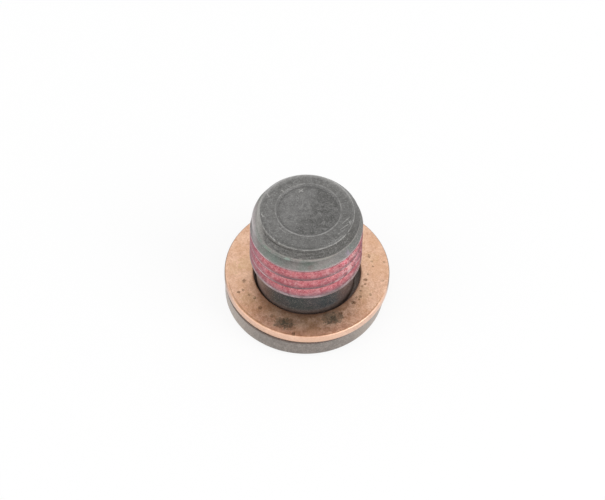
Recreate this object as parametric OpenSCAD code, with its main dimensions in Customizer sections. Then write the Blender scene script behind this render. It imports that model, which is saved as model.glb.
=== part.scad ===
// Round-headed screw plug with a copper sealing washer, loose on its neck, and a band of dry thread sealant.
// The plug stands on its head, as a drain plug is put down on a bench: the thread points up.
// Origin: on the plug's axis, at the face of the head. Millimetres, +Z towards the thread's end.

/* [Head] */
// Diameter of the round head
head_d = 17; // [16:0.25:22]
// Thickness of the head
head_h = 2.2; // [1.8:0.1:4]
// Chamfer round the head's free face
head_chamfer = 0.4; // [0.1:0.05:0.6]
// Small break of the edge under the sealing washer
head_edge = 0.12; // [0.05:0.01:0.3]

/* [Drive socket] */
// Width across flats of the hexagon socket
hex_af = 6; // [5:0.5:7]
// Depth of the flat sides of the socket
hex_depth = 6.5; // [4:0.25:8]
// Angle of the drill point under the hexagon
drill_angle = 120; // [110:2:150]
// Chamfer at the socket's mouth, beyond the hexagon's corners
socket_chamfer = 0.25; // [0.1:0.05:0.5]

/* [Shank] */
// Length of the shank, from the head to its end
shank_l = 11.9; // [11:0.1:20]
// Length of the plain neck, from the head to the first turn of thread
neck_l = 4.75; // [3:0.05:6]
// How much smaller than the thread the neck is, on the radius
neck_cut = 0.75; // [0.6:0.05:1.2]
// Fillet between neck and head
neck_fillet = 0.15; // [0.05:0.05:0.2]
// Slope of the shoulder from the neck up to the thread
shoulder_angle = 30; // [20:5:45]

/* [Thread] */
// Outside diameter of the thread
thread_d = 11.9; // [11:0.1:14]
// Pitch, right-hand
pitch = 1.5; // [1:0.05:1.6]
// Included angle of the thread's groove
flank_angle = 60; // [50:1:62]
// Width of the flat on each crest, as cut
crest_flat = 0.19; // [0.15:0.01:0.3]
// Width of the flat at the bottom of the groove
root_flat = 0.3; // [0.15:0.01:0.35]
// Width of the plain ring at the thread's foot, where the groove runs out
ring_flat = 0.12; // [0.05:0.01:0.3]

/* [Shank end] */
// Length of the slight taper that narrows the last turns of thread
taper_l = 1.2; // [0.6:0.05:2]
// How much that taper takes off the radius
taper_cut = 0.35; // [0.1:0.05:0.5]
// Length of the steep lead-in cone above the taper
lead_l = 0.8; // [0.5:0.05:1.5]
// How much the lead-in cone takes off the radius
lead_cut = 0.58; // [0.3:0.02:0.8]
// Bevel between the lead-in cone and the flat end
end_bevel = 0.28; // [0.15:0.01:0.5]
// Diameter of the shallow forged recess in the end
recess_d = 6.8; // [4:0.1:7.2]
// Depth of that recess
recess_depth = 0.18; // [0.1:0.02:0.5]
// How far the recess's wall leans in
recess_lean = 0.14; // [0.05:0.01:0.3]
// How far the recess was struck off the axis, to the right
recess_right = 0.12; // [0:0.02:0.3]
// How far the recess was struck off the axis, to the back
recess_back = 0.16; // [0:0.02:0.3]

/* [Sealing washer] */
// Outside diameter of the washer
washer_d = 17.6; // [16:0.1:20]
// Thickness of the washer
washer_h = 1; // [0.8:0.1:2]
// Radial clearance of the washer round the neck, too little for the thread to pass
washer_clear = 0.5; // [0.45:0.05:0.7]
// Rounded edge of the washer
washer_edge = 0.15; // [0.05:0.01:0.3]
// Where the loose washer has slid to, to the right
washer_right = 0.2; // [0:0.05:0.3]
// Where the loose washer has slid to, to the back
washer_back = 0.35; // [0:0.05:0.4]

/* [Sealant band] */
// Height of the sealant band at the front, up to the crest that ends it
band_h = 4.5; // [3:0.05:4.8]
// Turn past the front at which the sealant ends
band_past = 180; // [90:10:240]
// Thickness of sealant at the bottom of the groove
band_depth = 0.3; // [0.15:0.05:0.4]
// Gap kept between the sealant and the steel
band_gap = 0.01; // [0.01:0.01:0.05]

/* [Hidden] */
$fn = 96;
// Steps of the swept groove in each turn
turn_steps = 64;
front_angle = -90;
head_r = head_d / 2;
thread_r = thread_d / 2;
neck_r = thread_r - neck_cut;
plug_h = head_h + shank_l;
thread_z = head_h + neck_l;
flank_run = tan(flank_angle / 2);
groove_open = pitch - crest_flat;
groove_depth = (groove_open - root_flat) / 2 / flank_run;
root_r = thread_r - groove_depth;
shoulder_z = thread_z - neck_cut * tan(shoulder_angle);
taper_r = thread_r - taper_cut;
lead_r = taper_r - lead_cut;
bevel_z = plug_h - end_bevel;
lead_z = bevel_z - lead_l;
flat_r = lead_r - end_bevel;
recess_r = recess_d / 2;
washer_hole_r = neck_r + washer_clear;
band_top = thread_z + band_h;
ring_z = thread_z + ring_flat;
// The groove's first angle: the whole groove still lies below the ring's sloping side there
start_angle = groove_angle(ring_z - pitch / 2);
// How far the groove's cutter stands out of the thread, without meeting its next turn
cut_out = min(0.1, crest_flat / 4 / flank_run);
// A cut's overlap past the face that it opens through
eps = 0.02;

// Height of the middle of the groove at an angle round the axis
function groove_z(a) = band_top - pitch / 2 + pitch * (a - front_angle) / 360;
// The angle at which the middle of the groove is at a height
function groove_angle(z) = front_angle + (z - band_top + pitch / 2) * 360 / pitch;
// One section of the swept shape, turned to its angle and raised to its height
function section(outline, a) = [for (p = outline) [p.x * cos(a), p.x * sin(a), p.y + groove_z(a)]];
// Half the groove's width at a radius, between its two flanks
function half_width(r) = root_flat / 2 + (r - root_r) * flank_run;
// Points of a quarter circle between two angles
function arc(cx, cy, r, from, to, n) = [for (i = [0 : n]) let (a = from + (to - from) * i / n) [cx + r * cos(a), cy + r * sin(a)]];

// A closed outline of [radius, height] points, swept round the axis along the thread's helix.
// Every sweep takes the same whole steps round the axis, so that the sealant's facets match the groove's.
module thread_sweep(outline, from, to) {
    step = 360 / turn_steps;
    first = floor((from - front_angle) / step);
    steps = ceil((to - front_angle) / step) - first;
    m = len(outline);
    points = [for (i = [0 : steps]) each section(outline, front_angle + (first + i) * step)];
    sides = [for (i = [0 : steps - 1], j = [0 : m - 1])
        let (a = i * m + j, b = i * m + (j + 1) % m)
        each [[a, b + m, a + m], [a, b, b + m]]];
    start_cap = [[for (j = [0 : m - 1]) m - 1 - j]];
    end_cap = [[for (j = [0 : m - 1]) steps * m + j]];
    polyhedron(points = points, faces = concat(sides, start_cap, end_cap));
}

// The space that the groove may use: above the plain ring, and a gap clear of the ring's sloping side
module above_ring(gap) {
    in_r = root_r - eps;
    out_r = thread_r + 2 * cut_out;
    foot_z = ring_z + gap / cos(flank_angle / 2);
    top_z = plug_h + 2 * pitch;
    rotate_extrude() polygon([
        [in_r, foot_z + (thread_r - in_r) * flank_run],
        [out_r, foot_z + (thread_r - out_r) * flank_run],
        [out_r, top_z],
        [in_r, top_z]
    ]);
}

// The thread's V groove, from its run-out over the ring up and out through the end
module groove() {
    out_r = thread_r + cut_out;
    outline = [
        [root_r, -root_flat / 2],
        [out_r, -half_width(out_r)],
        [out_r, half_width(out_r)],
        [root_r, root_flat / 2]
    ];
    intersection() {
        thread_sweep(outline, start_angle, groove_angle(plug_h + pitch));
        above_ring(0);
    }
}

// Hexagon socket with a drill point, open at the head's face
module drive_socket() {
    corner_r = hex_af / 2 / cos(30);
    drill_r = hex_af / 2;
    mouth_r = corner_r + socket_chamfer;
    translate([0, 0, -eps]) cylinder(r = corner_r, h = hex_depth + eps, $fn = 6);
    translate([0, 0, hex_depth - eps]) cylinder(r1 = drill_r, r2 = 0, h = drill_r / tan(drill_angle / 2));
    translate([0, 0, -eps]) cylinder(r1 = mouth_r + eps, r2 = drill_r, h = mouth_r - drill_r + eps);
}

// Shallow round recess in the end, a little off the axis
module end_recess() {
    rise = recess_depth + eps;
    translate([recess_right, recess_back, plug_h - recess_depth])
        cylinder(r1 = recess_r - recess_lean, r2 = recess_r + recess_lean * eps / recess_depth, h = rise);
}

// The turned steel body: head, neck, shoulder, threaded shank, its taper and its lead-in cone
module body() {
    rotate_extrude() polygon(concat(
        [
            [0, 0],
            [head_r - head_chamfer, 0],
            [head_r, head_chamfer],
            [head_r, head_h - head_edge],
            [head_r - head_edge, head_h]
        ],
        arc(neck_r + neck_fillet, head_h + neck_fillet, neck_fillet, 270, 180, 6),
        [
            [neck_r, shoulder_z],
            [thread_r, thread_z],
            [thread_r, lead_z - taper_l],
            [taper_r, lead_z],
            [lead_r, bevel_z],
            [flat_r, plug_h],
            [0, plug_h]
        ]
    ));
}

module plug() {
    color([0.47, 0.46, 0.45]) difference() {
        body();
        groove();
        drive_socket();
        end_recess();
    }
}

// Flat copper ring lying loose on the head, held on by the thread
module sealing_washer() {
    r = washer_d / 2;
    e = washer_edge;
    color([0.87, 0.69, 0.55]) translate([washer_right, washer_back, head_h]) rotate_extrude() polygon([
        [washer_hole_r + e, 0],
        [r - e, 0],
        [r, e],
        [r, washer_h - e],
        [r - e, washer_h],
        [washer_hole_r + e, washer_h],
        [washer_hole_r, washer_h - e],
        [washer_hole_r, e]
    ]);
}

// Dry red sealant that lines the groove up to one crest and leaves the crests bare
module thread_sealant() {
    low_r = root_r + band_gap;
    edge_r = thread_r - 2 * band_gap;
    gap = band_gap / cos(flank_angle / 2);
    outline = [
        [low_r, -root_flat / 2],
        [edge_r, gap - half_width(edge_r)],
        [root_r + band_depth, -root_flat / 4],
        [root_r + band_depth, root_flat / 4],
        [edge_r, half_width(edge_r) - gap],
        [low_r, root_flat / 2]
    ];
    color([0.78, 0.42, 0.45]) intersection() {
        thread_sweep(outline, start_angle, front_angle + band_past);
        above_ring(band_gap);
    }
}

plug();
sealing_washer();
thread_sealant();
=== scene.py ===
"""A round-headed screw plug on its head, with a loose copper sealing washer and dry thread sealant."""
import math

import bmesh
import bpy
from mathutils import Matrix, Vector, noise


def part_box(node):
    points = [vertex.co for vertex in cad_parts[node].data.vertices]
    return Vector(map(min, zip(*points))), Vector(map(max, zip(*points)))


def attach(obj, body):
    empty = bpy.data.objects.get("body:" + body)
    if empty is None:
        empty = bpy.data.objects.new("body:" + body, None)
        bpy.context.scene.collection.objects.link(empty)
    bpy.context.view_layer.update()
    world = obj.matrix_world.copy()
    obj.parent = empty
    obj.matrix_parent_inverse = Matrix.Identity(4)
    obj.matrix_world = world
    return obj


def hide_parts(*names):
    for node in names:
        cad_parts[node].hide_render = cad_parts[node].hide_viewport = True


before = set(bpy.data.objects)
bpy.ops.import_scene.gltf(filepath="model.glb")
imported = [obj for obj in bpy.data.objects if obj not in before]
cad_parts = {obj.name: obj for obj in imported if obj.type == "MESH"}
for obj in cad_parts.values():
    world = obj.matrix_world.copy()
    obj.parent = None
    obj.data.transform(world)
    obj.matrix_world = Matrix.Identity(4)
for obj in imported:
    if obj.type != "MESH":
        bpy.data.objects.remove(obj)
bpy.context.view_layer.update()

# Lengths are in millimetres until a mesh is finished, and angles in radians
MM = 0.001
TURN = 2 * math.pi
FRONT = -TURN / 4

plug_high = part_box("plug")[1] / MM
washer_low, washer_high = (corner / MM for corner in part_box("sealing_washer"))

# Head and neck
HEAD_R = plug_high.x
HEAD_H = washer_low.z
HEAD_CHAMFER = 0.4
HEAD_EDGE = 0.12
NECK_R = 5.2
NECK_FILLET = 0.15

# Thread: a right-hand M12 x 1.5 with 60 degree flanks
THREAD_R = 5.95
ROOT_R = 5.075
PITCH = 1.5
FLANK_RUN = math.tan(math.radians(30))
CREST_FLAT = 0.19
ROOT_FLAT = 0.3
CREST_WEAR = 0.018
CREST_WEAR_REACH = 0.04
THREAD_Z = 6.76
RING_Z = 7.07
SHOULDER_Z = THREAD_Z - (THREAD_R - NECK_R) * FLANK_RUN

# Shank end
PLUG_H = plug_high.z
END_BEVEL = 0.28
BEVEL_Z = PLUG_H - END_BEVEL
LEAD_L = 0.8
LEAD_CUT = 0.58
LEAD_Z = BEVEL_Z - LEAD_L
TAPER_L = 1.2
TAPER_CUT = 0.35
TAPER_Z = LEAD_Z - TAPER_L
LEAD_R = THREAD_R - TAPER_CUT - LEAD_CUT
FLAT_R = LEAD_R - END_BEVEL
RECESS_R = 3.4
RECESS_DEPTH = 0.18
RECESS_LEAN = 0.14
RECESS_CENTRE = Vector((0.12, 0.16))

# Drive socket in the head
HEX_FLAT_R = 3.0
HEX_DEPTH = 6.5
DRILL_RUN = math.tan(math.radians(60))
MOUTH_R = HEX_FLAT_R / math.cos(TURN / 12) + 0.25

# Sealing washer
WASHER_CENTRE = Vector(((washer_low.x + washer_high.x) / 2, (washer_low.y + washer_high.y) / 2))
WASHER_R = (washer_high.x - washer_low.x) / 2
WASHER_HOLE_R = 5.7
WASHER_EDGE = 0.15

# Sealant: up to the crest that ends it at the front, and half a turn past the front
BAND_TOP = 11.45
BAND_DEPTH = 0.3
BAND_TURNS = 0.5
GROOVE_FRONT = BAND_TOP - PITCH / 2
# Gaps to the crests, the ring and the steel, least thickness, and rise over the crests
EDGE_GAP = 0.012
RING_GAP = 0.03
STEEL_GAP = 0.008
THINNEST = 0.012
OVER_CREST = 0.02

# How finely the meshes are cut
COLUMNS = 300
ROWS_PER_PITCH = 18
ROW_PACKING = 0.085
TURNS_BELOW = 5
TURNS_ABOVE = 2
# A row this share of its spacing away from a fold is moved onto it
FOLD_REACH = 0.48

# Camera, fitted to the outlines in the photograph, which fix its angle well and its distance hardly
IMAGE_W = 605
FOCAL_PX = 3788
CAMERA_ELEVATION = math.radians(53.35)
CAMERA_ROLL = math.radians(1.72)
CAMERA_DISTANCE = 400
CAMERA_TARGET = Vector((-0.35, 0, 7.25))

# The point that the lamps are turned to, in metres
LAMP_AIM = Vector((0, 0, 0.006))


def tone(red, green, blue):
    """A colour as it looks, from 0 to 255, as the shaders take it."""
    parts = [c / 255 for c in (red, green, blue)]
    linear = [c / 12.92 if c <= 0.04045 else ((c + 0.055) / 1.055) ** 2.4 for c in parts]
    return (*linear, 1.0)


# Shapes


def finish_piece(name, bm, material, sharp_degrees, node):
    """Turns a bmesh in millimetres into a piece that rides with the part and stands for one node."""
    bmesh.ops.recalc_face_normals(bm, faces=bm.faces)
    bmesh.ops.scale(bm, vec=(MM, MM, MM), verts=bm.verts)
    mesh = bpy.data.meshes.new(name)
    bm.to_mesh(mesh)
    bm.free()
    for face in mesh.polygons:
        face.use_smooth = True
    mesh.set_sharp_from_angle(angle=math.radians(sharp_degrees))
    mesh.materials.append(material)
    piece = bpy.data.objects.new(name, mesh)
    bpy.context.scene.collection.objects.link(piece)
    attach(piece, "root")
    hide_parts(node)


def polar(radius, angle, z, centre=(0, 0)):
    """A point at a radius and an angle round a centre."""
    return Vector((centre[0] + radius * math.cos(angle), centre[1] + radius * math.sin(angle), z))


def crest_height(angle):
    """Height of one crest of the helix at an angle; the others lie whole pitches away."""
    return BAND_TOP + PITCH * (angle - FRONT) / TURN


def past_crest(z, angle):
    """How far a height lies above the nearest crest."""
    pitches = (z - crest_height(angle)) / PITCH
    return (pitches - round(pitches)) * PITCH


def narrowing(z):
    """Radius that the taper and the lead-in cone leave at a height."""
    taper = THREAD_R - max(0.0, z - TAPER_Z) * TAPER_CUT / TAPER_L
    lead = THREAD_R - TAPER_CUT - (z - LEAD_Z) * LEAD_CUT / LEAD_L
    return min(taper, lead)


def thread_radius(z, angle):
    """The steel's radius on the threaded shank: ring at the foot, helix, taper and lead-in cone."""
    beside = abs(past_crest(z, angle)) - CREST_FLAT / 2
    worn = CREST_WEAR * math.exp(-((beside / CREST_WEAR_REACH) ** 2))
    helix = THREAD_R - max(0.0, beside) / FLANK_RUN - worn
    ring = THREAD_R - max(0.0, z - RING_Z) / FLANK_RUN
    return min(narrowing(z), max(helix, ring, ROOT_R))


def folds_beside(crest):
    """Where a crest's flanks meet the taper, the lead-in cone and the ring at the foot."""
    half = CREST_FLAT / 2
    folds = [-(half + crest - RING_Z) / 2]
    for slope, start, cut, low, high in (
        (TAPER_CUT / TAPER_L, TAPER_Z, 0.0, TAPER_Z, LEAD_Z),
        (LEAD_CUT / LEAD_L, LEAD_Z, TAPER_CUT, LEAD_Z, BEVEL_Z),
    ):
        reach = half / FLANK_RUN + cut + slope * (crest - start)
        above = reach / (1 / FLANK_RUN - slope)
        below = -reach / (1 / FLANK_RUN + slope)
        folds += [place for place in (above, below) if low < crest + place < high]
    return [place for place in folds if half < abs(place) < (PITCH - ROOT_FLAT) / 2]


def settle_rows(bm):
    """Packs the helical rows closer at the crests, and puts the nearest row on each fold."""
    for vert in bm.verts:
        angle = math.atan2(vert.co.y, vert.co.x)
        pitches = (vert.co.z - crest_height(angle)) / PITCH
        part = pitches - round(pitches)
        crest = vert.co.z - part * PITCH
        offset = PITCH * (part - ROW_PACKING * math.sin(TURN * part))
        spacing = PITCH / ROWS_PER_PITCH * (1 - ROW_PACKING * TURN * math.cos(TURN * part))
        for fold in folds_beside(crest):
            if abs(offset - fold) < FOLD_REACH * spacing:
                offset = fold
        vert.co.z = crest + offset


def threaded_shank():
    """The shank from the thread's foot to the end bevel, spun up along the helix from one edge."""
    bm = bmesh.new()
    low = crest_height(FRONT) - TURNS_BELOW * PITCH
    high = crest_height(FRONT) + TURNS_ABOVE * PITCH
    ends = [bm.verts.new(polar(THREAD_R, FRONT, z)) for z in (low, high)]
    edge = bm.edges.new(ends)
    bmesh.ops.subdivide_edges(bm, edges=[edge], cuts=(TURNS_BELOW + TURNS_ABOVE) * ROWS_PER_PITCH - 1)
    bmesh.ops.spin(
        bm,
        geom=bm.verts[:] + bm.edges[:],
        cent=(0, 0, 0),
        axis=(0, 0, 1),
        dvec=(0, 0, PITCH / COLUMNS),
        angle=TURN,
        steps=COLUMNS,
    )
    bmesh.ops.remove_doubles(bm, verts=bm.verts, dist=0.001)
    settle_rows(bm)
    for z in (RING_Z, TAPER_Z, LEAD_Z):
        cut_level(bm, z)
    cut_level(bm, THREAD_Z, clear_inner=True)
    cut_level(bm, BEVEL_Z, clear_outer=True)
    for vert in bm.verts:
        angle = math.atan2(vert.co.y, vert.co.x)
        vert.co = polar(thread_radius(vert.co.z, angle), angle, vert.co.z)
    return bm


def cut_level(bm, z, **cleared):
    """Cuts the mesh along one height, so that an edge runs there."""
    whole = bm.verts[:] + bm.edges[:] + bm.faces[:]
    bmesh.ops.bisect_plane(bm, geom=whole, dist=1e-4, plane_co=(0, 0, z), plane_no=(0, 0, 1), **cleared)


def open_loop(bm, z):
    """The open edges that lie at one height."""
    return [e for e in bm.edges if e.is_boundary and all(abs(v.co.z - z) < 1e-3 for v in e.verts)]


def grow(bm, loop, radius, height, centre=Vector((0, 0)), last_centre=Vector((0, 0))):
    """Carries an open loop on by one row; radius and height are functions of the angle."""
    made = bmesh.ops.extrude_edge_only(bm, edges=loop)["geom"]
    fresh = {item for item in made if isinstance(item, bmesh.types.BMVert)}
    for vert in fresh:
        angle = math.atan2(vert.co.y - last_centre.y, vert.co.x - last_centre.x)
        vert.co = polar(radius(angle), angle, height(angle), centre)
    edges = [item for item in made if isinstance(item, bmesh.types.BMEdge)]
    return [edge for edge in edges if fresh.issuperset(edge.verts)]


def grow_along(bm, loop, profile, centre=Vector((0, 0)), last_centre=Vector((0, 0))):
    """Carries an open loop on through a list of (radius, height) rows."""
    for radius, height in profile:
        loop = grow(bm, loop, lambda angle: radius, lambda angle: height, centre, last_centre)
        last_centre = centre
    return loop


def steps_between(start, end, count):
    """Evenly spaced (radius, height) rows after start, up to end."""
    return [
        (start[0] + (end[0] - start[0]) * i / count, start[1] + (end[1] - start[1]) * i / count)
        for i in range(1, count + 1)
    ]


def rounded(centre_r, centre_z, radius, start, end, count):
    """(radius, height) rows along an arc, its angles in degrees from the outward direction."""
    angles = [math.radians(start + (end - start) * i / count) for i in range(count + 1)]
    return [(centre_r + radius * math.cos(a), centre_z + radius * math.sin(a)) for a in angles]


def hexagon_radius(angle):
    """Distance from the axis to the socket's flats; its corners lie at whole sixths of a turn."""
    sixth = TURN / 6
    beside = (angle + sixth / 2) % sixth - sixth / 2
    return HEX_FLAT_R / math.cos(sixth / 2 - abs(beside))


def close_head(bm):
    """Neck, head and hexagon socket, carried down from the thread's foot."""
    fillet = rounded(NECK_R + NECK_FILLET, HEAD_H + NECK_FILLET, NECK_FILLET, 180, 270, 5)
    rim = rounded(HEAD_R - HEAD_EDGE, HEAD_H - HEAD_EDGE, HEAD_EDGE, 90, 0, 4)
    chamfer = rounded(HEAD_R - HEAD_CHAMFER, HEAD_CHAMFER, HEAD_CHAMFER, 0, -90, 6)
    profile = steps_between((THREAD_R, THREAD_Z), (NECK_R + 0.03, SHOULDER_Z + 0.02), 5)
    profile += steps_between((NECK_R, SHOULDER_Z), fillet[0], 14)
    profile += fillet
    profile += steps_between(fillet[-1], rim[0], 12)
    profile += rim
    profile += steps_between(rim[-1], chamfer[0], 8)
    profile += chamfer
    profile += steps_between(chamfer[-1], (MOUTH_R, 0), 12)
    loop = grow_along(bm, open_loop(bm, THREAD_Z), profile)
    loop = grow(bm, loop, hexagon_radius, lambda angle: MOUTH_R - hexagon_radius(angle))
    socket_rows = 8
    for row in range(1, socket_rows + 1):
        share = row / socket_rows
        loop = grow(
            bm,
            loop,
            hexagon_radius,
            lambda angle: (MOUTH_R - hexagon_radius(angle)) * (1 - share) + HEX_DEPTH * share,
        )
    drill_start = (HEX_FLAT_R - 0.03, HEX_DEPTH)
    tip_r = 0.08
    drill_end = (tip_r, HEX_DEPTH + (HEX_FLAT_R - tip_r) / DRILL_RUN)
    loop = grow_along(bm, loop, [drill_start] + steps_between(drill_start, drill_end, 8))
    bmesh.ops.edgeloop_fill(bm, edges=loop)


def close_end(bm):
    """End bevel, flat end and its shallow recess, struck a little off the axis."""
    land_rows = 12
    bevel = steps_between((LEAD_R, BEVEL_Z), (FLAT_R, PLUG_H), 4)
    loop = grow_along(bm, open_loop(bm, BEVEL_Z), bevel)
    last_centre = Vector((0, 0))
    for row in range(1, land_rows + 1):
        share = row / land_rows
        centre = RECESS_CENTRE * share
        radius = FLAT_R + (RECESS_R - FLAT_R) * share
        loop = grow(bm, loop, lambda angle: radius, lambda angle: PLUG_H, centre, last_centre)
        last_centre = centre
    foot = (RECESS_R - RECESS_LEAN, PLUG_H - RECESS_DEPTH)
    profile = [(RECESS_R - 0.02, PLUG_H - 0.006), (RECESS_R - 0.05, PLUG_H - 0.04)]
    profile += [(foot[0] + 0.03, foot[1] + 0.035), (foot[0] - 0.01, foot[1] + 0.006)]
    profile += steps_between((foot[0] - 0.05, foot[1]), (0.1, foot[1]), 34)
    loop = grow_along(bm, loop, profile, RECESS_CENTRE, RECESS_CENTRE)
    bmesh.ops.edgeloop_fill(bm, edges=loop)


def dent(bm, at, reach, depth):
    """Presses a small round dent into the surface, along its own normals."""
    for vert in bm.verts:
        distance = (vert.co - at).length / reach
        if distance < 1:
            vert.co -= vert.normal * depth * (1 - distance * distance) ** 2


# Dents and nicks in the steel: (angle in degrees, radius, height, reach, depth)
STEEL_DENTS = [
    (-108, 5.66, 12.95, 0.30, 0.12),
    (-139, 5.30, 13.45, 0.28, 0.05),
    (155, 4.54, 14.1, 0.30, 0.06),
    (-171, 4.75, 14.05, 0.35, 0.09),
    (136, 3.55, 14.1, 0.20, 0.05),
    (25, 4.8, 14.05, 0.28, 0.07),
    (-16, 4.75, 14.05, 0.32, 0.08),
    (-31, 4.98, 13.85, 0.30, 0.06),
    (-128, 4.95, 13.95, 0.35, 0.08),
    (60, 5.2, 13.6, 0.35, 0.06),
    (110, 5.6, 12.95, 0.35, 0.08),
    (-60, 8.45, 1.9, 0.35, 0.05),
    (170, 8.45, 1.2, 0.40, 0.05),
    (35, 8.45, 0.5, 0.40, 0.05),
]


def wear(bm, broad, fine, shift=Vector((0, 0, 0))):
    """Wears a surface in, a little unevenly; broad and fine are each (scale of the noise, depth)."""
    bm.normal_update()
    for vert in bm.verts:
        worn_broad = broad[1] * (1 + noise.noise(vert.co * broad[0]))
        worn_fine = fine[1] * (1 + noise.noise(vert.co * fine[0] + shift))
        vert.co -= vert.normal * (worn_broad + worn_fine)


def worn_steel(bm):
    """The forged and worn steel's slight unevenness, and its dents."""
    wear(bm, broad=(0.9, 0.008), fine=(4.5, 0.005), shift=Vector((7, 3, 1)))
    for degrees, radius, z, reach, depth in STEEL_DENTS:
        dent(bm, polar(radius, math.radians(degrees), z), reach, depth)


def plug_body(material):
    """The whole steel plug, one closed mesh."""
    bm = threaded_shank()
    close_head(bm)
    close_end(bm)
    bmesh.ops.remove_doubles(bm, verts=bm.verts, dist=0.002)
    bmesh.ops.recalc_face_normals(bm, faces=bm.faces)
    worn_steel(bm)
    finish_piece("plug_body", bm, material, sharp_degrees=28, node="plug")


def washer_ring(material):
    """The flat copper ring with soft edges, its faces a little uneven."""
    bm = bmesh.new()
    low = washer_low.z
    high = washer_high.z
    edge = WASHER_EDGE
    outline = rounded(WASHER_R - edge, low + edge, edge, -90, 0, 4)
    outline += rounded(WASHER_R - edge, high - edge, edge, 0, 90, 4)
    outline += steps_between((WASHER_R - edge, high), (WASHER_HOLE_R + edge, high), 16)
    outline += rounded(WASHER_HOLE_R + edge, high - edge, edge, 90, 180, 4)[1:]
    outline += rounded(WASHER_HOLE_R + edge, low + edge, edge, 180, 270, 4)
    outline += steps_between((WASHER_HOLE_R + edge, low), (WASHER_R - edge, low), 8)[:-1]
    verts = [bm.verts.new(polar(radius, 0, z, WASHER_CENTRE)) for radius, z in outline]
    edges = [bm.edges.new((verts[i - 1], verts[i])) for i in range(len(verts))]
    bmesh.ops.spin(
        bm,
        geom=verts + edges,
        cent=(*WASHER_CENTRE, 0),
        axis=(0, 0, 1),
        angle=TURN,
        steps=COLUMNS,
        use_merge=True,
    )
    bmesh.ops.recalc_face_normals(bm, faces=bm.faces)
    wear(bm, broad=(0.35, 0.006), fine=(2.5, 0.003))
    finish_piece("washer_ring", bm, material, sharp_degrees=40, node="sealing_washer")


def sealant_film(material):
    """The dry sealant in the groove: one section swept up the helix, then laid on the flanks."""
    bm = bmesh.new()
    sides = 20
    start_z = 6.47
    first_turn = (start_z - GROOVE_FRONT) / PITCH
    steps = int((BAND_TURNS - first_turn) * COLUMNS)
    # Where each point lies in the section: share of the groove's width, and 1 on the visible side
    across_layer = bm.verts.layers.float.new("across")
    skin_layer = bm.verts.layers.float.new("skin")
    start_angle = FRONT + first_turn * TURN
    ring = bmesh.ops.create_circle(bm, segments=sides, radius=1)["verts"]
    for vert in ring:
        round_angle = math.atan2(vert.co.y, vert.co.x)
        vert[across_layer] = 0.5 - 0.5 * math.cos(round_angle)
        vert[skin_layer] = 1.0 if math.sin(round_angle) > 0.01 else 0.0
        vert.co = polar(THREAD_R + 0.1 * vert[skin_layer], start_angle, vert[across_layer])
    bmesh.ops.spin(
        bm,
        geom=ring + bm.edges[:],
        cent=(0, 0, 0),
        axis=(0, 0, 1),
        dvec=(0, 0, PITCH / COLUMNS),
        angle=steps / COLUMNS * TURN,
        steps=steps,
    )
    above_first = 1.05
    rims = [edge for edge in bm.edges if edge.is_boundary]
    for is_first in (True, False):
        rim = [edge for edge in rims if (edge.verts[0].co.z < above_first) == is_first]
        bmesh.ops.edgeloop_fill(bm, edges=rim)
    for vert in bm.verts:
        turn = first_turn + (vert.co.z - vert[across_layer]) / PITCH
        vert.co = sealant_point(turn, vert[across_layer], vert[skin_layer])
    finish_piece(
        "sealant_film", bm, material, sharp_degrees=50, node="thread_sealant"
    )


# Lumps on the sealant: (angle in degrees, height, reach, rise)
SEALANT_LUMPS = [
    (-43, 10.8, 0.55, 0.16),
    (-37.5, 8.8, 0.6, 0.2),
    (-33, 9.3, 0.45, 0.16),
    (-29, 10.0, 0.45, 0.14),
    (-125, 8.3, 0.5, 0.12),
    (-62, 8.0, 0.5, 0.12),
    (150, 9.2, 0.6, 0.14),
    (60, 8.1, 0.6, 0.14),
]


def sealant_point(turn, across, skin):
    """A point of the sealant: turns from the front, share of the groove's width, inside or visible."""
    angle = FRONT + turn * TURN
    groove = GROOVE_FRONT + turn * PITCH
    groove_half = (PITCH - CREST_FLAT) / 2
    half = groove_half - EDGE_GAP
    low = max(-half, RING_Z + RING_GAP - groove)
    offset = low + (half - low) * across
    z = groove + offset
    ring = THREAD_R - max(0.0, z - RING_Z) / FLANK_RUN
    flank = THREAD_R - (groove_half - abs(offset)) / FLANK_RUN
    steel = max(ROOT_R, flank, ring) + STEEL_GAP
    if not skin:
        return polar(steel, angle, z)
    place = polar(THREAD_R, angle, z)
    full = max(0.0, 1 - (2 * across - 1) ** 4)
    ragged = noise.noise(place * 1.6) * 0.03 + noise.noise(place * 4.3) * 0.022
    fill = ROOT_R + BAND_DEPTH - 0.02 + 0.3 * abs(offset)
    rise = max(0.045, fill - steel) + ragged
    for degrees, height, reach, lump in SEALANT_LUMPS:
        away = (place - polar(THREAD_R, math.radians(degrees), height)).length / reach
        if away < 1:
            rise += lump * (1 - away * away) ** 2
    taper = min(1.0, (BAND_TURNS - turn) * 12 + 0.1)
    radius = steel + max(THINNEST, rise * full * taper)
    return polar(min(radius, THREAD_R + OVER_CREST), angle, z)


# Finishes


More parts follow.
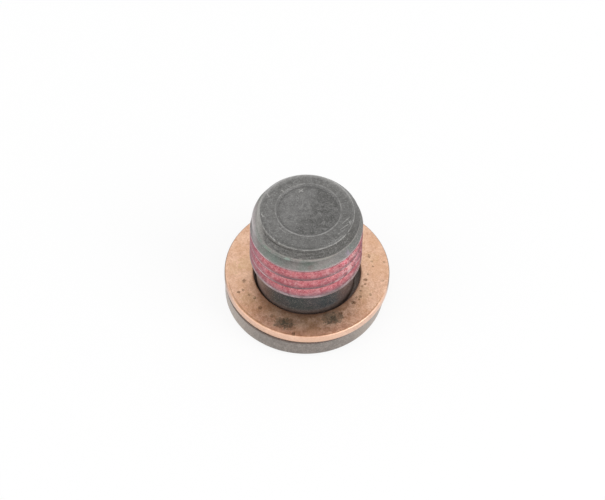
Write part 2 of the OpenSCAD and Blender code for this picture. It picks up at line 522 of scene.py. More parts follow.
class Finish:
    """A node tree, with a short call for each kind of node that the finishes use."""

    def __init__(self, tree):
        self.tree = tree

    def feed(self, socket, value):
        """Links a value from another node, or sets a plain one."""
        if isinstance(value, bpy.types.NodeSocket):
            self.tree.links.new(value, socket)
        else:
            socket.default_value = value

    def node(self, kind, inputs, **settings):
        made = self.tree.nodes.new("ShaderNode" + kind)
        for name, value in settings.items():
            setattr(made, name, value)
        for key, value in inputs.items():
            self.feed(made.inputs[key], value)
        return made

    def calc(self, operation, *values):
        return self.node("Math", dict(enumerate(values)), operation=operation).outputs[0]

    def vector(self, operation, *values, out="Vector"):
        return self.node("VectorMath", dict(enumerate(values)), operation=operation).outputs[out]

    def mix(self, factor, first, second):
        return self.node("Mix", {0: factor, 6: first, 7: second}, data_type="RGBA").outputs[2]

    def ease(self, value, low, high, start=0.0, end=1.0):
        """Runs smoothly from start to end while the value goes from low to high."""
        inputs = {0: value, 1: low, 2: high, 3: start, 4: end}
        return self.node("MapRange", inputs, interpolation_type="SMOOTHSTEP").outputs[0]

    def times(self, *values):
        """Masks and shares multiplied together."""
        product = values[0]
        for value in values[1:]:
            product = self.calc("MULTIPLY", product, value)
        return product

    def paint(self, colour, look, *masks):
        """Lays a look over a colour, as far as all the masks and shares allow."""
        return self.mix(self.times(*masks), colour, look)

    def near(self, value, target, width):
        """1 where a value is at its target, 0 at a width from it."""
        return self.ease(self.calc("ABSOLUTE", self.calc("SUBTRACT", value, target)), 0.0, width, 1.0, 0.0)

    def split(self, place):
        """The x, y and z of a place."""
        return self.node("SeparateXYZ", {0: place}).outputs

    def cloud(self, place, scale, detail=2.0, roughness=0.5):
        inputs = {"Vector": place, "Scale": scale, "Detail": detail, "Roughness": roughness}
        return self.node("TexNoise", inputs).outputs["Fac"]

    def use(self, group, **inputs):
        """Places a node group; an input's underscore stands for a space."""
        made = self.tree.nodes.new("ShaderNodeGroup")
        made.node_tree = group
        for name, value in inputs.items():
            self.feed(made.inputs[name.replace("_", " ")], value)
        return made.outputs


def new_group(name, inputs, outputs):
    """An empty group with its named sockets, and the finish that fills it."""
    tree = bpy.data.node_groups.new(name, "ShaderNodeTree")
    for label, kind in inputs:
        tree.interface.new_socket(label, in_out="INPUT", socket_type="NodeSocket" + kind)
    for label, kind in outputs:
        tree.interface.new_socket(label, in_out="OUTPUT", socket_type="NodeSocket" + kind)
    given = tree.nodes.new("NodeGroupInput").outputs
    result = tree.nodes.new("NodeGroupOutput").inputs
    return tree, Finish(tree), given, result


def helix_group():
    """Where a point lies on the plug: radius, and how far above the nearest crest of the thread."""
    tree, f, given, result = new_group(
        "thread helix", [("Place", "Vector")], [("Radius", "Float"), ("Past Crest", "Float")]
    )
    x, y, z = f.split(given["Place"])
    radius = f.calc("SQRT", f.calc("ADD", f.times(x, x), f.times(y, y)))
    turn = f.calc("DIVIDE", f.calc("ARCTAN2", y, x), TURN)
    climbed = f.calc("SUBTRACT", f.calc("DIVIDE", f.calc("SUBTRACT", z, crest_height(0.0)), PITCH), turn)
    part = f.calc("SUBTRACT", climbed, f.calc("ROUND", climbed))
    f.feed(result["Radius"], radius)
    f.feed(result["Past Crest"], f.times(part, PITCH))
    return tree


def grain_group():
    """Fine sandy grain: a tone from 0 to 1, and a height for the bump."""
    tree, f, given, result = new_group(
        "fine grain", [("Place", "Vector"), ("Scale", "Float")], [("Tone", "Float"), ("Height", "Float")]
    )
    fine = f.cloud(given["Place"], given["Scale"], 4.0, 0.65)
    coarse = f.cloud(given["Place"], f.times(given["Scale"], 0.27), 3.0, 0.6)
    f.feed(result["Tone"], f.ease(f.calc("ADD", fine, coarse), 0.75, 1.25))
    f.feed(result["Height"], fine)
    return tree


def spot_group():
    """A ragged spot round a centre: 1 inside, 0 outside."""
    tree, f, given, result = new_group(
        "ragged spot",
        [("Place", "Vector"), ("Centre", "Vector"), ("Reach", "Float"), ("Ragged", "Float")],
        [("Mask", "Float")],
    )
    away = f.vector("DISTANCE", given["Place"], given["Centre"], out="Value")
    share = f.calc("DIVIDE", away, given["Reach"])
    rough = f.calc("SUBTRACT", f.cloud(given["Place"], 3.1, 4.0, 0.7), 0.5)
    edge = f.calc("MULTIPLY_ADD", rough, given["Ragged"], share)
    f.feed(result["Mask"], f.ease(edge, 0.7, 1.05, 1.0, 0.0))
    return tree


def line_group():
    """A thin mark between two points: 1 on the line, 0 beside it."""
    tree, f, given, result = new_group(
        "thin mark",
        [("Place", "Vector"), ("Start", "Vector"), ("End", "Vector"), ("Width", "Float")],
        [("Mask", "Float")],
    )
    run = f.vector("SUBTRACT", given["End"], given["Start"])
    here = f.vector("SUBTRACT", given["Place"], given["Start"])
    along = f.calc("DIVIDE", f.vector("DOT_PRODUCT", here, run, out="Value"),
                   f.vector("DOT_PRODUCT", run, run, out="Value"))
    share = f.calc("MINIMUM", f.calc("MAXIMUM", along, 0.0), 1.0)
    nearest = f.node("VectorMath", {0: run, 3: share}, operation="SCALE").outputs[0]
    away = f.vector("DISTANCE", here, nearest, out="Value")
    waver = f.times(f.calc("SUBTRACT", f.cloud(given["Place"], 3.7, 3.0), 0.5), 0.12)
    edge = f.calc("DIVIDE", f.calc("ABSOLUTE", f.calc("ADD", away, waver)), given["Width"])
    f.feed(result["Mask"], f.ease(edge, 0.3, 1.0, 1.0, 0.0))
    return tree


HELIX = helix_group()
GRAIN = grain_group()
SPOT = spot_group()
LINE = line_group()


def new_finish(name):
    """A material with its shader, its place in millimetres and the finish that fills it."""
    material = bpy.data.materials.new(name)
    material.use_nodes = True
    f = Finish(material.node_tree)
    shader = material.node_tree.nodes["Principled BSDF"]
    coordinates = f.node("TexCoord", {}).outputs["Object"]
    place = f.node("VectorMath", {0: coordinates, 3: 1 / MM}, operation="SCALE").outputs[0]
    return material, f, shader, place


def bump(f, shader, height, depth):
    """Gives the shader a bump of a depth in millimetres."""
    made = f.node("Bump", {"Height": height, "Strength": 1.0, "Distance": depth * MM})
    f.feed(shader.inputs["Normal"], made.outputs[0])


def flecked(f, place, colour, scale, dark, pale, share):
    """Scatters fine dark and pale flecks over a colour."""
    fleck = f.cloud(place, scale, 3.0, 0.8)
    colour = f.mix(f.ease(fleck, 0.34, 0.47, share, 0.0), colour, dark)
    return f.mix(f.ease(fleck, 0.53, 0.66, 0.0, share), colour, pale)


def spot(f, place, centre, reach, ragged):
    """Mask of one ragged spot."""
    return f.use(SPOT, Place=place, Centre=centre, Reach=reach, Ragged=ragged)["Mask"]


def on_thread(radius, degrees, height):
    """The centre of a spot on the plug, from its angle in degrees."""
    return tuple(polar(radius, math.radians(degrees), height))


# Heights over which one look of the steel gives way to the next
HEAD_TOP_SPAN = (HEAD_H - 0.1, HEAD_H + 0.1)
NECK_TOP = 6.74
CONE_FOOT_SPAN = (LEAD_Z - 0.05, LEAD_Z + 0.08)
END_SPAN = (BEVEL_Z - 0.02, BEVEL_Z + 0.06)


def steel_finish():
    """Dull dark steel, worn pale on its edges, with painted light and shade by side and along its
    outlines, smeared with sealant on the thread's crests.
    """
    material, f, shader, place = new_finish("dull dark steel")
    axes = f.split(place)
    helix = f.use(HELIX, Place=place)
    sand = f.use(GRAIN, Place=place, Scale=5.0)
    grain = sand["Tone"]
    colour = f.mix(grain, tone(94, 93, 92), tone(117, 116, 114))
    colour = end_colour(f, place, axes, helix["Radius"], grain, colour)
    colour = shank_colour(f, place, axes, helix, grain, colour)
    colour = head_colour(f, place, axes, grain, colour)
    colour = flecked(f, place, colour, 4.6, tone(62, 61, 60), tone(176, 175, 172), 0.22)
    colour = flecked(f, place, colour, 9.0, tone(52, 51, 50), tone(190, 189, 186), 0.34)
    f.feed(shader.inputs["Base Color"], colour)
    shader.inputs["Metallic"].default_value = 0.45
    on_neck = f.times(f.ease(axes[2], 6.5, NECK_TOP, 1.0, 0.0), f.ease(axes[2], *HEAD_TOP_SPAN))
    f.feed(shader.inputs["Coat Weight"], f.ease(on_neck, 0.0, 1.0, 0.55, 0.12))
    shader.inputs["Coat Roughness"].default_value = 0.35
    f.feed(shader.inputs["Roughness"], f.ease(grain, 0.0, 1.0, 0.5, 0.62))
    bump(f, shader, sand["Height"], 0.03)
    return material


# Marks on the plug's end, from the axis: (start, end, width, share)
END_CRACKS = [
    ((0.73, 4.48), (0.76, 3.36), 0.09, 0.45),
    ((1.83, -2.95), (2.57, -3.95), 0.09, 0.5),
    ((-4.0, -2.2), (-3.4, -1.9), 0.08, 0.3),
]
END_SCRATCHES = [
    ((-0.95, 2.92), (-0.45, 2.62), 0.07, 0.45),
    ((-0.85, 2.60), (-0.5, 2.97), 0.07, 0.45),
    ((-2.70, 2.62), (-2.55, 2.50), 0.10, 0.5),
    ((-4.2, 2.1), (-4.0, 1.7), 0.09, 0.4),
    ((-4.72, -0.55), (-4.55, -0.85), 0.10, 0.5),
    ((4.35, 2.2), (4.60, 1.9), 0.07, 0.35),
    ((4.45, -1.2), (4.55, -1.5), 0.08, 0.6),
    ((3.7, -1.5), (4.4, -0.7), 0.06, 0.35),
    ((3.5, -2.3), (4.3, -1.6), 0.06, 0.4),
    ((3.3, -2.9), (4.0, -2.2), 0.05, 0.3),
    ((-2.9, -2.2), (-2.2, -2.9), 0.06, 0.25),
]


# Dark patches on the recess's floor: (centre, reach)
RECESS_PATCHES = [
    ((0.1, -1.95, 0.0), 1.35),
    ((2.3, -0.6, 0.0), 1.2),
    ((1.3, -1.0, 0.0), 0.6),
]


def end_colour(f, place, axes, radius, grain, colour):
    """The flat end: mottled dark patches, cracks and scratches, pale worn rims, and a painted highlight
    along its far edge.
    """
    x, y, z = axes
    on_end = f.ease(z, *END_SPAN)
    flat_place = f.vector("MULTIPLY", place, (1.0, 1.0, 0.0))
    from_recess = f.vector("SUBTRACT", flat_place, (RECESS_CENTRE.x, RECESS_CENTRE.y, 0.0))
    across = f.vector("LENGTH", from_recess, out="Value")
    inside = f.ease(across, RECESS_R - RECESS_LEAN - 0.25, RECESS_R - RECESS_LEAN, 1.0, 0.0)
    beyond = f.ease(across, RECESS_R - 0.1, RECESS_R + 0.1)

    strokes = f.vector("MULTIPLY", f.vector("NORMALIZE", flat_place), (20.0, 20.0, 0.0))
    along = f.times(radius, 0.9)
    strokes = f.vector("ADD", strokes, f.node("CombineXYZ", {2: along}).outputs[0])
    stroke = f.cloud(strokes, 1.0, 3.0, 0.7)
    land = f.mix(f.ease(stroke, 0.3, 0.7), tone(98, 97, 95), tone(116, 115, 113))
    colour = f.paint(colour, land, beyond, on_end)
    front_right = f.ease(f.calc("SUBTRACT", x, y), 0.0, 5.0, 0.0, 0.5)
    colour = f.paint(colour, tone(92, 91, 89), beyond, on_end, front_right)
    worn_land = f.ease(f.cloud(place, 1.9, 6.0, 0.8), 0.42, 0.52, 0.55, 0.0)
    colour = f.paint(colour, tone(72, 71, 68), beyond, on_end, worn_land)

    mottle = f.cloud(f.vector("MULTIPLY", place, (0.75, 1.3, 1.0)), 1.7, 6.0, 0.75)
    toward = f.calc("MULTIPLY_ADD", x, 0.9, f.times(y, -0.45))
    shade = f.ease(toward, -1.2, 1.2, 0.2, 1.0)
    blotch = f.ease(mottle, 0.44, 0.54, 0.95, 0.08)
    colour = f.paint(colour, tone(68, 67, 65), inside, on_end, shade, blotch)
    pale_patch = spot(f, flat_place, (-1.4, 0.4, 0.0), reach=2.2, ragged=1.2)
    colour = f.paint(colour, tone(136, 135, 133), pale_patch, on_end, inside, grain, 0.4)
    colour = f.paint(colour, tone(84, 83, 81), inside, on_end, f.ease(x, -3.2, -2.2, 0.45, 0.0))
    waver = f.times(f.calc("SUBTRACT", mottle, 0.5), 0.9)
    sector_x = f.ease(f.calc("ADD", x, waver), 0.9, 1.05)
    sector_y = f.ease(f.calc("ADD", f.calc("MULTIPLY_ADD", x, 0.14, y), waver), 1.62, 1.8)
    colour = f.paint(colour, tone(78, 77, 75), sector_x, sector_y, inside, on_end, 0.8)
    for centre, reach in RECESS_PATCHES:
        patch = spot(f, flat_place, centre, reach, ragged=2.4)
        colour = f.paint(colour, tone(66, 65, 63), patch, inside, on_end, 0.4)

    for marks, mark in ((END_CRACKS, tone(70, 69, 66)), (END_SCRATCHES, tone(196, 194, 190))):
        for first, last, width, share in marks:
            ends = {"Start": (*first, 0.0), "End": (*last, 0.0)}
            mask = f.use(LINE, Place=flat_place, Width=width, **ends)["Mask"]
            colour = f.paint(colour, mark, mask, on_end, share)

    patchy = f.ease(f.cloud(place, 1.5, 5.0, 0.7), 0.36, 0.62, 0.25, 1.0)
    front = f.ease(y, -4.0, 1.0, 1.0, 0.5)
    rim_line = f.times(f.near(across, RECESS_R + 0.03, 0.15), on_end, front, patchy)
    wall_line = f.times(f.near(across, RECESS_R - RECESS_LEAN - 0.12, 0.16), on_end)
    colour = f.paint(colour, tone(70, 69, 67), wall_line, 0.5)
    colour = f.paint(colour, tone(170, 168, 166), rim_line, 0.85)
    bevel_line = f.times(f.near(radius, LEAD_R - 0.02, 0.13), f.near(z, BEVEL_Z + 0.02, 0.14), patchy)
    bevel_dark = f.times(f.near(radius, FLAT_R + 0.08, 0.16), on_end, f.ease(y, -3.0, 0.5, 1.0, 0.2))
    colour = f.paint(colour, tone(66, 65, 62), bevel_dark, 0.6)
    colour = f.paint(colour, tone(190, 188, 184), bevel_line, 0.95)
    # painted highlight: the end is made paler towards its far edge, as a grazing sheen
    far_edge_highlight = f.times(f.ease(radius, FLAT_R - 0.5, LEAD_R), on_end, f.ease(y, 1.0, 4.0))
    return f.paint(colour, tone(178, 176, 174), far_edge_highlight, 0.75)


def pale_crests(f, place, x, z):
    """How pale the crests are rubbed: along the first one, on the left, and in patches on the right."""
    first = f.ease(z, 10.7, 10.9, 0.0, 0.55)
    left = f.ease(x, -4.6, -2.2, 0.85, 0.0)
    crumbs = f.ease(f.cloud(place, 1.8, 4.0, 0.7), 0.47, 0.55, 0.0, 0.8)
    right = f.times(f.ease(x, 1.5, 3.5), crumbs)
    return f.calc("MAXIMUM", f.calc("MAXIMUM", first, left), right)


# Faint tints on the bare flank: (angle in degrees, height, reach, colour)
FLANK_TINTS = [
    (-68, 12.3, 0.5, tone(140, 184, 168)),
    (-58, 12.5, 0.4, tone(176, 150, 168)),
    (-110, 12.7, 0.4, tone(150, 170, 158)),
    (-84, 12.0, 0.5, tone(126, 110, 106)),
    (-135, 12.4, 0.6, tone(128, 146, 130)),
    (-40, 12.2, 0.5, tone(150, 132, 150)),
]


def shank_colour(f, place, axes, helix, grain, colour):
    """Lead-in cone, bare flank, crests smeared with sealant, and the dark neck, with painted light and
    shade by side on the cone, flank and neck.
    """
    x, y, z = axes
    past = helix["Past Crest"]
    below_end = f.ease(z, *END_SPAN, 1.0, 0.0)
    turned = f.cloud(f.vector("MULTIPLY", place, (0.25, 0.25, 1.6)), 5.0, 4.0, 0.8)
    cone = f.mix(f.ease(turned, 0.38, 0.62), tone(68, 66, 63), tone(108, 105, 101))
    # painted shade on the cone's right side, and a painted highlight along its left edge
    cone = f.mix(f.ease(x, -1.0, 2.2, 0.0, 0.6), cone, tone(60, 58, 54))
    cone = f.mix(f.ease(x, 1.8, 3.2, 0.0, 0.25), cone, tone(46, 44, 40))
    cone = f.mix(f.ease(x, -5.3, -4.1, 0.9, 0.0), cone, tone(168, 165, 160))
    on_cone = f.times(f.ease(z, *CONE_FOOT_SPAN), below_end)
    colour = f.mix(on_cone, colour, cone)

    tint = f.cloud(place, 0.55, 3.0, 0.6)
    flank = f.mix(f.ease(tint, 0.38, 0.62), tone(104, 116, 107), tone(134, 127, 124))
    flank = f.paint(flank, tone(152, 148, 144), grain, 0.4)
    # painted light and shade on the bare flank: lighter right of the front, darker on the left and far
    # right, and a painted highlight along its left edge
    flank = f.mix(f.near(x, 1.5, 1.6), flank, f.mix(0.25, flank, tone(150, 146, 140)))
    flank = f.paint(flank, tone(94, 98, 94), f.near(x, -2.2, 1.6), 0.35)
    flank = f.mix(f.ease(x, 2.4, 3.6, 0.0, 0.55), flank, tone(90, 92, 90))
    flank = f.mix(f.ease(x, -5.9, -4.9, 0.9, 0.0), flank, tone(188, 178, 180))
    on_flank = f.times(f.ease(z, 11.2, 11.4), f.ease(z, *CONE_FOOT_SPAN, 1.0, 0.0))
    colour = f.mix(on_flank, colour, flank)
    for degrees, height, reach, look in FLANK_TINTS:
        mask = spot(f, place, on_thread(THREAD_R - 0.1, degrees, height), reach, ragged=1.4)
        colour = f.paint(colour, look, mask, on_flank, 0.6)
    patchy = f.ease(f.cloud(place, 1.6, 5.0, 0.7), 0.36, 0.6, 0.35, 1.0)
    corner = f.times(f.near(z, LEAD_Z - 0.06, 0.13), f.ease(helix["Radius"], 5.45, 5.52), patchy)
    corner_share = f.ease(x, -5.2, -1.5, 0.15, 0.55)
    colour = f.paint(colour, tone(176, 164, 156), corner, corner_share)

    above_neck = f.ease(z, 6.6, 6.75)
    on_band = f.times(above_neck, f.ease(z, 11.6, 12.3, 1.0, 0.0))
    smear = f.mix(grain, tone(104, 78, 82), tone(132, 100, 106))
    rubbed = f.mix(grain, tone(190, 146, 152), tone(230, 204, 206))
    smear = f.mix(pale_crests(f, place, x, z), smear, rubbed)
    crest = f.times(f.ease(past, -0.3, -0.1), f.ease(past, 0.04, 0.14, 1.0, 0.0))
    colour = f.paint(colour, smear, crest, on_band)
    foot = f.times(above_neck, f.ease(z, RING_Z, RING_Z + 0.15, 1.0, 0.0))
    foot_colour = f.mix(grain, tone(126, 106, 112), tone(184, 164, 170))
    foot_colour = f.paint(foot_colour, tone(102, 82, 88), f.near(x, 3.3, 1.7), 0.7)
    colour = f.paint(colour, foot_colour, foot, 0.9)

    neck_tone_with_painted_light = f.mix(f.ease(tint, 0.42, 0.58), tone(46, 66, 70), tone(60, 68, 76))
    neck_tone_with_painted_light = f.paint(neck_tone_with_painted_light, tone(84, 84, 86), grain, 0.35)
    # painted shade: the neck is made darker on its right and left sides and along its top
    neck_tone_with_painted_light = f.mix(f.ease(x, 0.8, 3.0, 0.0, 0.85), neck_tone_with_painted_light, tone(36, 58, 68))
    neck_tone_with_painted_light = f.mix(f.ease(x, -2.8, -1.0, 0.3, 0.0), neck_tone_with_painted_light, tone(40, 46, 48))
    neck_tone_with_painted_light = f.mix(f.ease(z, 4.8, 5.6, 0.0, 0.3), neck_tone_with_painted_light, tone(36, 42, 46))
    # painted light on the neck's lower part, offsetting the shade above the washer, and a painted
    # highlight along its left edge
    neck_tone_with_painted_light = f.mix(f.ease(z, 3.3, 4.1, 0.6, 0.0), neck_tone_with_painted_light, tone(112, 112, 112))
    neck_tone_with_painted_light = f.mix(f.ease(x, -5.1, -4.0, 0.75, 0.0), neck_tone_with_painted_light, tone(138, 134, 132))
    neck_tone_with_painted_light = f.mix(f.ease(f.calc("ABSOLUTE", x), 3.0, 4.4, 0.0, 0.3), neck_tone_with_painted_light, tone(156, 112, 98))
    # painted light just above the washer, strongest at the front, offsetting the shade in the narrow gap
    # there
    painted_light_above_washer = f.ease(z, 3.1, 3.75, 0.9, 0.0)
    neck_tone_with_painted_light = f.paint(neck_tone_with_painted_light, tone(112, 92, 82), painted_light_above_washer, f.ease(y, -5.0, -3.0, 1.0, 0.75))
    neck = f.times(f.ease(z, 6.6, NECK_TOP, 1.0, 0.0), f.ease(z, *HEAD_TOP_SPAN))
    return f.mix(neck, colour, neck_tone_with_painted_light)


def head_colour(f, place, axes, grain, colour):
    """The head: warmer and duller, with a painted sheen on its sides, and darkened along the joint under
    the washer.
    """
    x, _, z = axes
    on_head = f.ease(z, *HEAD_TOP_SPAN, 1.0, 0.0)
    streaks = f.cloud(f.vector("MULTIPLY", place, (1.0, 1.0, 0.35)), 2.2, 4.0, 0.6)
    warm = f.mix(grain, tone(118, 108, 101), tone(148, 137, 129))
    warm = f.paint(warm, tone(110, 100, 93), f.ease(streaks, 0.45, 0.65), 0.4)
    # painted highlight: the head's sides are made paler, as a grazing sheen
    warm = f.mix(f.ease(f.calc("ABSOLUTE", x), 3.5, 8.0, 0.0, 0.55), warm, tone(188, 172, 158))
    colour = f.mix(on_head, colour, warm)
    # darkened along the joint under the washer
    joint = f.times(f.ease(z, HEAD_H - 0.2, HEAD_H - 0.06), on_head)
    return f.paint(colour, tone(82, 54, 40), joint, 0.8)


# Stains, yellowish tints and small specks on the washer's upper face: (x, y, reach, share)
WASHER_STAINS = [
    (-2.40, -6.66, 0.75, 0.6),
    (-1.75, -6.74, 0.85, 0.65),
    (2.65, -5.85, 0.80, 0.5),
    (3.45, -5.66, 0.80, 0.55),
    (2.95, -6.15, 0.65, 0.45),
]
WASHER_TINTS = [
    (-5.95, -3.6, 0.9, 0.24),
    (-6.2, 1.0, 1.1, 0.22),
    (-7.6, 0.3, 0.9, 0.15),
    (6.3, -2.4, 1.0, 0.15),
    (7.0, 2.2, 0.9, 0.15),
]
WASHER_SPECKS = [
    (-6.46, -1.32, 0.22, 0.6),
    (-6.99, -2.81, 0.20, 0.6),
    (-6.50, -2.51, 0.18, 0.6),
    (-5.84, -3.14, 0.17, 0.5),
    (-5.30, -3.49, 0.21, 0.55),
    (-4.66, -4.76, 0.26, 0.6),
    (-3.42, -5.76, 0.20, 0.45),
    (-1.02, -7.99, 0.24, 0.6),
    (6.76, 2.44, 0.24, 0.65),
    (7.04, 1.77, 0.15, 0.5),
    (7.20, 1.11, 0.14, 0.5),
    (8.41, 1.73, 0.15, 0.4),
    (8.30, -0.73, 0.16, 0.5),
    (6.68, 0.05, 0.15, 0.5),
    (6.46, -0.66, 0.21, 0.75),
    (6.40, -1.28, 0.15, 0.55),
    (6.10, -1.57, 0.15, 0.55),
    (5.97, -2.14, 0.15, 0.55),
    (5.89, -2.89, 0.20, 0.65),
    (5.80, -3.27, 0.15, 0.55),
    (5.53, -3.02, 0.15, 0.5),
    (5.22, -3.70, 0.23, 0.75),
    (7.02, -2.57, 0.17, 0.45),
    (3.88, -5.13, 0.24, 0.6),
]


def copper_finish():
    """Satin copper, sandy and stained, with painted shade and light by the hole, across its face and on
    its rim, and darkened along the joint under it.
    """
    material, f, shader, place = new_finish("stained copper")
    x, y, z = f.split(place)
    grain = f.use(GRAIN, Place=place, Scale=4.5)
    from_centre = f.vector("SUBTRACT", place, (WASHER_CENTRE.x, WASHER_CENTRE.y, 0.0))
    radius = f.vector("LENGTH", f.vector("MULTIPLY", from_centre, (1.0, 1.0, 0.0)), out="Value")
    broad = f.cloud(place, 0.45, 3.0)
    colour = f.mix(grain["Tone"], tone(208, 160, 130), tone(242, 202, 174))
    colour = f.mix(f.ease(broad, 0.42, 0.62, 0.0, 0.5), colour, tone(210, 158, 116))
    colour = f.mix(f.ease(y, 4.0, 7.0, 0.0, 0.18), colour, tone(160, 118, 92))
    specks = f.ease(f.cloud(place, 3.2, 5.0, 0.8), 0.58, 0.68)
    colour = f.paint(colour, tone(152, 106, 74), specks, 0.55)
    colour = flecked(f, place, colour, 4.2, tone(164, 116, 86), tone(255, 226, 200), 0.22)
    colour = flecked(f, place, colour, 8.0, tone(140, 94, 66), tone(255, 232, 210), 0.34)
    sideways = f.calc("ABSOLUTE", f.calc("SUBTRACT", x, 0.4))
    # painted light: the copper is made lighter towards the sides and back, and a painted highlight lies
    # near its front edge
    colour = f.mix(f.ease(y, -5.5, -2.0, 0.0, 0.2), colour, tone(252, 212, 184))
    colour = f.mix(f.ease(y, -8.0, -6.6, 0.35, 0.0), colour, tone(246, 190, 150))
    # painted shade and painted reflection of the dark shank on the copper in front of the hole
    painted_shade_by_hole = f.ease(radius, WASHER_HOLE_R, WASHER_HOLE_R + 1.0, 0.75, 0.0)
    in_front = f.times(f.ease(y, -4.5, -0.5, 1.0, 0.0), f.ease(sideways, 1.6, 3.6, 1.0, 0.5))
    colour = f.paint(colour, tone(120, 82, 62), painted_shade_by_hole, in_front)
    rim = f.ease(radius, WASHER_R - 0.14, WASHER_R - 0.04)
    # painted shade on the rim at the far left and away from the front, and a painted highlight all round
    # it
    colour = f.paint(colour, tone(120, 90, 74), rim, f.ease(x, -8.2, -7.0, 0.6, 0.0))
    colour = f.paint(colour, tone(240, 208, 192), rim, 0.4)
    colour = f.paint(colour, tone(112, 92, 80), rim, f.ease(y, -2.5, -0.5, 0.0, 0.75))
    crease = f.near(radius, WASHER_R - 0.21, 0.06)
    colour = f.paint(colour, tone(140, 96, 62), crease, f.ease(y, -4.0, -2.0, 0.6, 0.0))
    broken = f.ease(f.cloud(place, 4.5, 4.0, 0.8), 0.4, 0.56, 0.35, 1.2)
    washer_marks = (
        (WASHER_TINTS, tone(196, 164, 100), 3.0),
        (WASHER_STAINS, tone(104, 98, 82), 1.6),
        (WASHER_SPECKS, tone(106, 74, 46), 2.2),
    )
    for marks, mark, ragged in washer_marks:
        for mark_x, mark_y, reach, share in marks:
            mask = spot(f, place, (mark_x, mark_y, washer_high.z), reach, ragged)
            colour = f.paint(colour, mark, mask, broken, share)
    rim_line = f.near(radius, WASHER_R - 0.3, 0.07)
    front_left = f.times(f.ease(x, -4.5, -3.0, 1.0, 0.0), f.ease(y, -2.2, -1.2, 1.0, 0.0))
    colour = f.paint(colour, tone(128, 84, 60), rim_line, front_left, 0.45)
    # darkened along the washer's lower edge, more towards the outside
    foot = f.ease(z, washer_low.z + 0.03, washer_low.z + 0.14, 1.0, 0.0)
    outer = f.ease(radius, WASHER_HOLE_R + 0.3, WASHER_HOLE_R + 0.6, 0.3, 0.85)
    colour = f.paint(colour, tone(70, 50, 40), foot, outer)
    f.feed(shader.inputs["Base Color"], colour)
    shader.inputs["Metallic"].default_value = 0.86
    f.feed(shader.inputs["Roughness"], f.ease(grain["Tone"], 0.0, 1.0, 0.32, 0.42))
    bump(f, shader, grain["Height"], 0.03)
    return material


# Patches on the sealant: (angle in degrees, height, reach, what it is)
SEALANT_PATCHES = [
    (-43, 10.8, 0.6, "hot"),
    (-36, 9.1, 0.45, "pale"),
    (-33, 9.7, 0.4, "hot"),
    (-39, 8.6, 0.4, "pale"),
    (-30, 10.2, 0.35, "pale"),
    (-47, 9.9, 0.35, "pale"),
    (-125, 8.2, 0.35, "pale"),
    (-142, 9.0, 0.7, "violet"),
    (-150, 10.3, 0.7, "violet"),
    (-20, 9.0, 0.8, "violet"),
    (-62, 8.0, 0.4, "dark"),
    (-55, 9.6, 0.5, "dark"),
    (-100, 8.2, 0.4, "dark"),
]


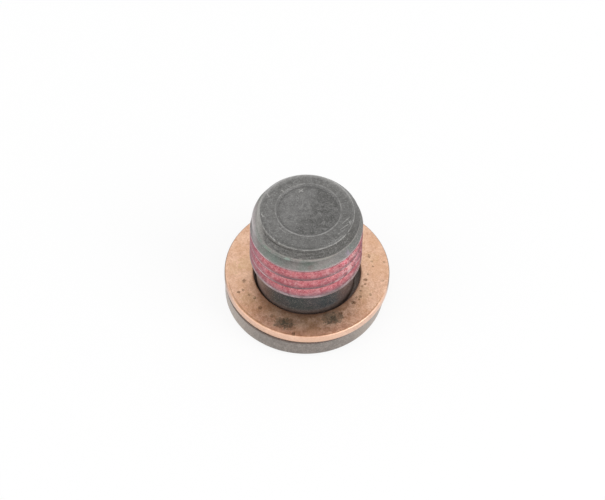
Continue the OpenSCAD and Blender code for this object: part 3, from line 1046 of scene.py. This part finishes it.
def sealant_finish():
    """Dry red sealant, matt: bright in the groove, with painted light near the root, and dark and grey
    towards the crest below, partly rubbed thin and partly painted shade.
    """
    material, f, shader, place = new_finish("dry red sealant")
    x, _, z = f.split(place)
    past = f.use(HELIX, Place=place)["Past Crest"]
    grain = f.use(GRAIN, Place=place, Scale=3.4)
    colour = f.mix(grain["Tone"], tone(184, 82, 94), tone(220, 136, 140))
    # darker towards the crest below: partly the coating rubbed thin, partly painted shade that reverses
    # the groove's own shading
    colour = f.mix(f.ease(past, 0.1, 0.52, 0.5, 0.0), colour, tone(150, 68, 80))
    # painted light near the root, offsetting the shade under the crest above
    colour = f.mix(f.ease(past, 0.5, 0.62, 0.0, 0.35), colour, tone(232, 164, 168))
    patch = f.ease(f.cloud(place, 1.3, 5.0, 0.7), 0.5, 0.62)
    colour = f.paint(colour, tone(160, 62, 78), patch, 0.6)
    dusty = f.ease(f.cloud(place, 0.8, 4.0, 0.6), 0.52, 0.66)
    colour = f.paint(colour, tone(212, 166, 168), dusty, 0.5)
    looks = {
        "hot": tone(246, 120, 140),
        "pale": tone(228, 196, 190),
        "violet": tone(186, 132, 144),
        "dark": tone(118, 46, 62),
    }
    for degrees, height, reach, look in SEALANT_PATCHES:
        mask = spot(f, place, on_thread(THREAD_R - 0.3, degrees, height), reach, ragged=2.2)
        colour = f.paint(colour, looks[look], mask, 0.5)
    creased = f.cloud(f.vector("MULTIPLY", place, (1.0, 1.0, 2.6)), 1.5, 3.0, 0.7)
    crumbly = spot(f, place, on_thread(THREAD_R, -36, 9.6), reach=1.7, ragged=1.0)
    crease = f.near(creased, 0.5, 0.045)
    crease_share = f.calc("MULTIPLY_ADD", crumbly, 0.45, 0.35)
    colour = f.paint(colour, tone(238, 204, 204), crease, crease_share)
    along_groove = f.vector("MULTIPLY", place, (0.6, 0.6, 1.8))
    colour = flecked(f, along_groove, colour, 4.2, tone(126, 46, 64), tone(244, 182, 186), 0.36)
    colour = flecked(f, place, colour, 8.0, tone(108, 40, 58), tone(250, 200, 202), 0.3)
    in_top_groove = f.ease(z, 10.75, 10.95)
    colour = f.mix(f.ease(x, -5.7, -4.7, 0.4, 0.0), colour, tone(160, 100, 124))
    bare_left = f.times(f.ease(x, -5.6, -4.6, 0.45, 0.0), in_top_groove)
    colour = f.mix(bare_left, colour, tone(176, 140, 152))
    bare_right = f.times(f.ease(x, 2.0, 4.0, 0.0, 0.75), in_top_groove, f.ease(past, 0.42, 0.54))
    colour = f.mix(bare_right, colour, tone(172, 156, 150))
    pale = f.times(pale_crests(f, place, x, z), 0.45)
    worn = f.mix(pale, tone(104, 70, 76), tone(222, 186, 190))
    rubbed = f.times(f.ease(past, 0.08, 0.3, 1.0, 0.0), f.ease(past, 0.0, 0.06))
    colour = f.paint(colour, worn, rubbed, 0.75)
    foot = f.ease(z, RING_Z, RING_Z + 0.35, 0.7, 0.0)
    colour = f.mix(foot, colour, f.mix(grain["Tone"], tone(112, 76, 84), tone(160, 124, 130)))
    last_at = tuple(polar(THREAD_R - 0.3, FRONT + BAND_TURNS * TURN, BAND_TOP))
    upper = f.ease(z, GROOVE_FRONT, GROOVE_FRONT + 0.1)
    thin = f.times(spot(f, place, last_at, reach=1.9, ragged=2.6), upper)
    bare_steel = f.mix(grain["Tone"], tone(84, 80, 78), tone(124, 112, 110))
    colour = f.paint(colour, bare_steel, thin, 0.9)
    f.feed(shader.inputs["Base Color"], colour)
    f.feed(shader.inputs["Roughness"], f.ease(grain["Tone"], 0.0, 1.0, 0.6, 0.8))
    bump(f, shader, grain["Height"], 0.07)
    return material


# Floor, light and camera


def floor_and_world():
    """A pale floor that keeps the plug's shadow, and a white background."""
    bm = bmesh.new()
    bmesh.ops.create_grid(bm, x_segments=1, y_segments=1, size=3.0)
    mesh = bpy.data.meshes.new("floor")
    bm.to_mesh(mesh)
    bm.free()
    floor = bpy.data.objects.new("floor", mesh)
    bpy.context.scene.collection.objects.link(floor)
    material = bpy.data.materials.new("white paper")
    material.use_nodes = True
    f = Finish(material.node_tree)
    paper = material.node_tree.nodes["Principled BSDF"]
    paper.inputs["Base Color"].default_value = tone(246, 246, 246)
    paper.inputs["Roughness"].default_value = 0.9
    paper.inputs["Specular IOR Level"].default_value = 0.0
    glow = f.node("Emission", {"Color": (1, 1, 1, 1), "Strength": 1.0})
    seen = f.times(seen_directly(f), 0.85)
    mixed = f.node("MixShader", {0: seen, 1: paper.outputs[0], 2: glow.outputs[0]})
    f.feed(material.node_tree.nodes["Material Output"].inputs["Surface"], mixed.outputs[0])
    mesh.materials.append(material)

    world = bpy.data.worlds.new("white room")
    bpy.context.scene.world = world
    world.use_nodes = True
    w = Finish(world.node_tree)
    background = world.node_tree.nodes["Background"]
    background.inputs["Color"].default_value = (1, 1, 1, 1)
    w.feed(background.inputs["Strength"], w.ease(seen_directly(w), 0.0, 1.0, 0.82, 1.0))


def seen_directly(f):
    """1 for what the camera sees straight, in a reflection or through glass."""
    path = f.node("LightPath", {}).outputs
    mirrored = f.calc("MAXIMUM", path["Is Glossy Ray"], path["Is Transmission Ray"])
    return f.calc("MAXIMUM", path["Is Camera Ray"], mirrored)


def soft_lamp(name, at, size, power):
    """A square lamp that points at the middle of the plug; its place and size are in metres."""
    light = bpy.data.lights.new(name, "AREA")
    light.size = size
    light.energy = power
    lamp = bpy.data.objects.new(name, light)
    lamp.location = at
    aim = LAMP_AIM - lamp.location
    lamp.rotation_mode = "QUATERNION"
    lamp.rotation_quaternion = aim.to_track_quat("-Z", "Y")
    bpy.context.scene.collection.objects.link(lamp)


def photograph_camera():
    """The photograph's view: its lens, height and slight roll."""
    data = bpy.data.cameras.new("camera")
    data.sensor_width = 36
    data.lens = FOCAL_PX / IMAGE_W * data.sensor_width
    data.clip_start = 0.01
    camera = bpy.data.objects.new("camera", data)
    rise = CAMERA_ELEVATION
    back = Vector((0, -math.cos(rise), math.sin(rise)))
    upward = Vector((0, math.sin(rise), math.cos(rise)))
    right = math.cos(CAMERA_ROLL) * Vector((1, 0, 0)) + math.sin(CAMERA_ROLL) * upward
    up = back.cross(right)
    turned = Matrix((right, up, back)).transposed().to_4x4()
    camera.matrix_world = Matrix.Translation((CAMERA_TARGET + CAMERA_DISTANCE * back) * MM) @ turned
    bpy.context.scene.collection.objects.link(camera)
    bpy.context.scene.camera = camera


plug_body(steel_finish())
washer_ring(copper_finish())
sealant_film(sealant_finish())

floor_and_world()
soft_lamp("right window", (0.35, -0.15, 0.3), 0.3, 0.8)
soft_lamp("left window", (-0.35, -0.1, 0.28), 0.3, 0.3)
photograph_camera()
bpy.context.scene.view_settings.view_transform = "Standard"
